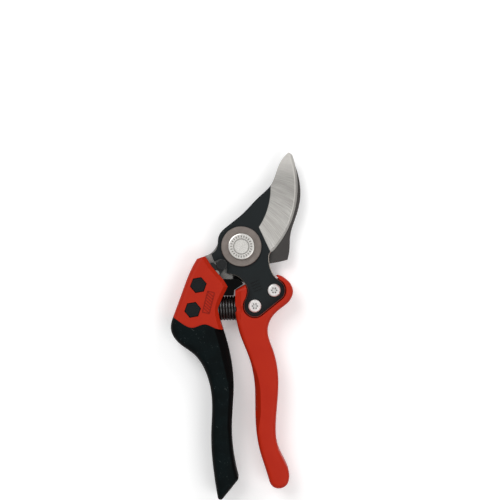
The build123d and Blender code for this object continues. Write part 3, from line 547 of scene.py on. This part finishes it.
def moving_facet(y):
    """Grows down the handle's hollow and runs out before its foot."""
    return (0.15 + 2.9 * smooth_step(y, -50 * MM, -84 * MM) * smooth_step(y, -112 * MM, -92 * MM)) * MM


def fixed_facet(y):
    """Wide at the neck, narrower below and gone at the foot."""
    grown = smooth_step(y, -38 * MM, -46 * MM) * 4.6
    thinned = smooth_step(y, -62 * MM, -84 * MM) * 2.1
    gone = smooth_step(y, -98 * MM, -122 * MM)
    return (0.15 + (grown - thinned) * (1 - gone)) * MM


def grip_crown(_):
    """The same all along the grip."""
    return 0.9 * MM


def handle_crown(y):
    """Flat beside the blade's pocket, crowned below it."""
    return 0.7 * MM * smooth_step(y, -46 * MM, -60 * MM)


carve("moving_handle", "moving_half", -1, moving_facet, handle_crown, moving_lo.y + CLAMP, -30 * MM)
carve("soft_grip", "fixed_half", 1, fixed_facet, grip_crown, grip_lo.y + CLAMP, -47 * MM)


# ---------------------------------------------------------------- spring
WIRE_R = 0.75 * MM
TURNS = 8
PER_TURN = 40
WIRE_SIDES = 12
CLOSED_TURNS = 0.85         # turns at each end that are closed up
CLOSED_SHARE = 0.1          # of the length, taken by each closed end


def spring():
    """Round wire wound between the seats, with its last turn at each end closed up."""
    mean_r = (spring_hi.y - spring_lo.y) / 2 - WIRE_R
    mid_y = (spring_lo.y + spring_hi.y) / 2
    length = spring_hi.x - spring_lo.x - 2 * WIRE_R
    path = []
    for k in range(TURNS * PER_TURN + 1):
        turn = k / PER_TURN
        inside = min(1.0, max(0.0, (turn - CLOSED_TURNS) / (TURNS - 2 * CLOSED_TURNS)))
        pitch_share = inside * (1 - 2 * CLOSED_SHARE) + CLOSED_SHARE * min(1.0, turn / CLOSED_TURNS)
        pitch_share += CLOSED_SHARE * max(0.0, (turn - TURNS + CLOSED_TURNS) / CLOSED_TURNS)
        angle = 2 * math.pi * turn
        path.append(Vector((spring_lo.x + WIRE_R + length * pitch_share, mid_y + mean_r * math.cos(angle),
                            mid_z + mean_r * math.sin(angle))))
    verts, faces = [], []
    for k, spot in enumerate(path):
        ahead = path[min(k + 1, len(path) - 1)] - path[max(k - 1, 0)]
        outward = Vector((0, spot.y - mid_y, spot.z - mid_z)).normalized()
        across = ahead.normalized().cross(outward).normalized()
        for s in range(WIRE_SIDES):
            turn = 2 * math.pi * s / WIRE_SIDES
            verts.append(spot + WIRE_R * (outward * math.cos(turn) + across * math.sin(turn)))
    for k in range(len(path) - 1):
        for s in range(WIRE_SIDES):
            a, b = k * WIRE_SIDES + s, k * WIRE_SIDES + (s + 1) % WIRE_SIDES
            faces.append((a, b, b + WIRE_SIDES, a + WIRE_SIDES))
    faces.append(tuple(reversed(range(WIRE_SIDES))))
    faces.append(tuple(range((len(path) - 1) * WIRE_SIDES, len(path) * WIRE_SIDES)))
    mesh = bpy.data.meshes.new("spring_coil")
    mesh.from_pydata(verts, [], faces)
    for polygon in mesh.polygons:
        polygon.use_smooth = len(polygon.vertices) == 4
    mesh.materials.append(finishes["coil_spring"])
    coil = bpy.data.objects.new("spring_coil", mesh)
    bpy.context.scene.collection.objects.link(coil)
    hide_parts("coil_spring")
    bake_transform(coil)


spring()


# ---------------------------------------------------------------- studio
FLOOR_GAP = 0.1 * MM        # the floor lies this far under the part, so that no faces coincide
FLOOR_HALF = 3.0
HORIZON = 0.1
OVERHEAD = 0.56
AIM = Vector((0, -0.03, 0))
VIEW_WIDTH = 0.283          # metres of the part's level that fill the picture's width
VIEW_LEVEL = 0.012
VIEW_AT = (0.0049, -0.0020)


def studio():
    """A pale paper floor, a dim graded sky and three soft lights."""
    mesh = bpy.data.meshes.new("floor")
    corners = [(x * FLOOR_HALF, y * FLOOR_HALF, 0) for x, y in ((-1, -1), (1, -1), (1, 1), (-1, 1))]
    mesh.from_pydata(corners, [], [(0, 1, 2, 3)])
    floor = bpy.data.objects.new("floor", mesh)
    bpy.context.scene.collection.objects.link(floor)
    floor.location.z = cad_box[0][2] - FLOOR_GAP
    g = Graph("floor_paper")
    g.set(Base_Color=g.mix(g.noise(40, 2), (0.9, 0.9, 0.9, 1), (0.93, 0.93, 0.93, 1)), Roughness=0.9,
          Emission_Color=(1, 1, 1, 1), Emission_Strength=0.2)
    mesh.materials.append(g.mat)

    world = bpy.data.worlds.new("studio")
    world.use_nodes = True
    tree = world.node_tree
    sky = tree.nodes.new("ShaderNodeTexCoord").outputs["Generated"]
    split = tree.nodes.new("ShaderNodeSeparateXYZ")
    ramp = tree.nodes.new("ShaderNodeMapRange")
    tree.links.new(sky, split.inputs[0])
    tree.links.new(split.outputs["Z"], ramp.inputs["Value"])
    ramp.inputs["To Min"].default_value = HORIZON
    ramp.inputs["To Max"].default_value = OVERHEAD
    tree.links.new(ramp.outputs["Result"], tree.nodes["Background"].inputs["Strength"])
    tree.nodes["Background"].inputs["Color"].default_value = (1, 1, 1, 1)
    bpy.context.scene.world = world

    def soft_box(name, spot, size, power):
        light = bpy.data.lights.new(name, "AREA")
        light.shape = "SQUARE"
        light.size = size
        light.energy = power
        lamp = bpy.data.objects.new(name, light)
        lamp.location = spot
        lamp.rotation_euler = (AIM - Vector(spot)).to_track_quat("-Z", "Y").to_euler()
        bpy.context.scene.collection.objects.link(lamp)

    soft_box("key", (-0.5, 0.6, 1.1), 0.7, 7.5)
    soft_box("fill", (0.6, -0.5, 1.1), 0.8, 4.5)
    soft_box("rim", (0.7, 0.7, 0.8), 0.6, 3.0)


def camera():
    """Looks straight down on the part from far off."""
    lens = bpy.data.cameras.new("camera")
    lens.lens = 100
    view = bpy.data.objects.new("camera", lens)
    view.location = (*VIEW_AT, VIEW_LEVEL + VIEW_WIDTH * lens.lens / lens.sensor_width)
    bpy.context.scene.collection.objects.link(view)
    bpy.context.scene.camera = view


studio()
camera()
bpy.context.scene.view_settings.view_transform = "Standard"
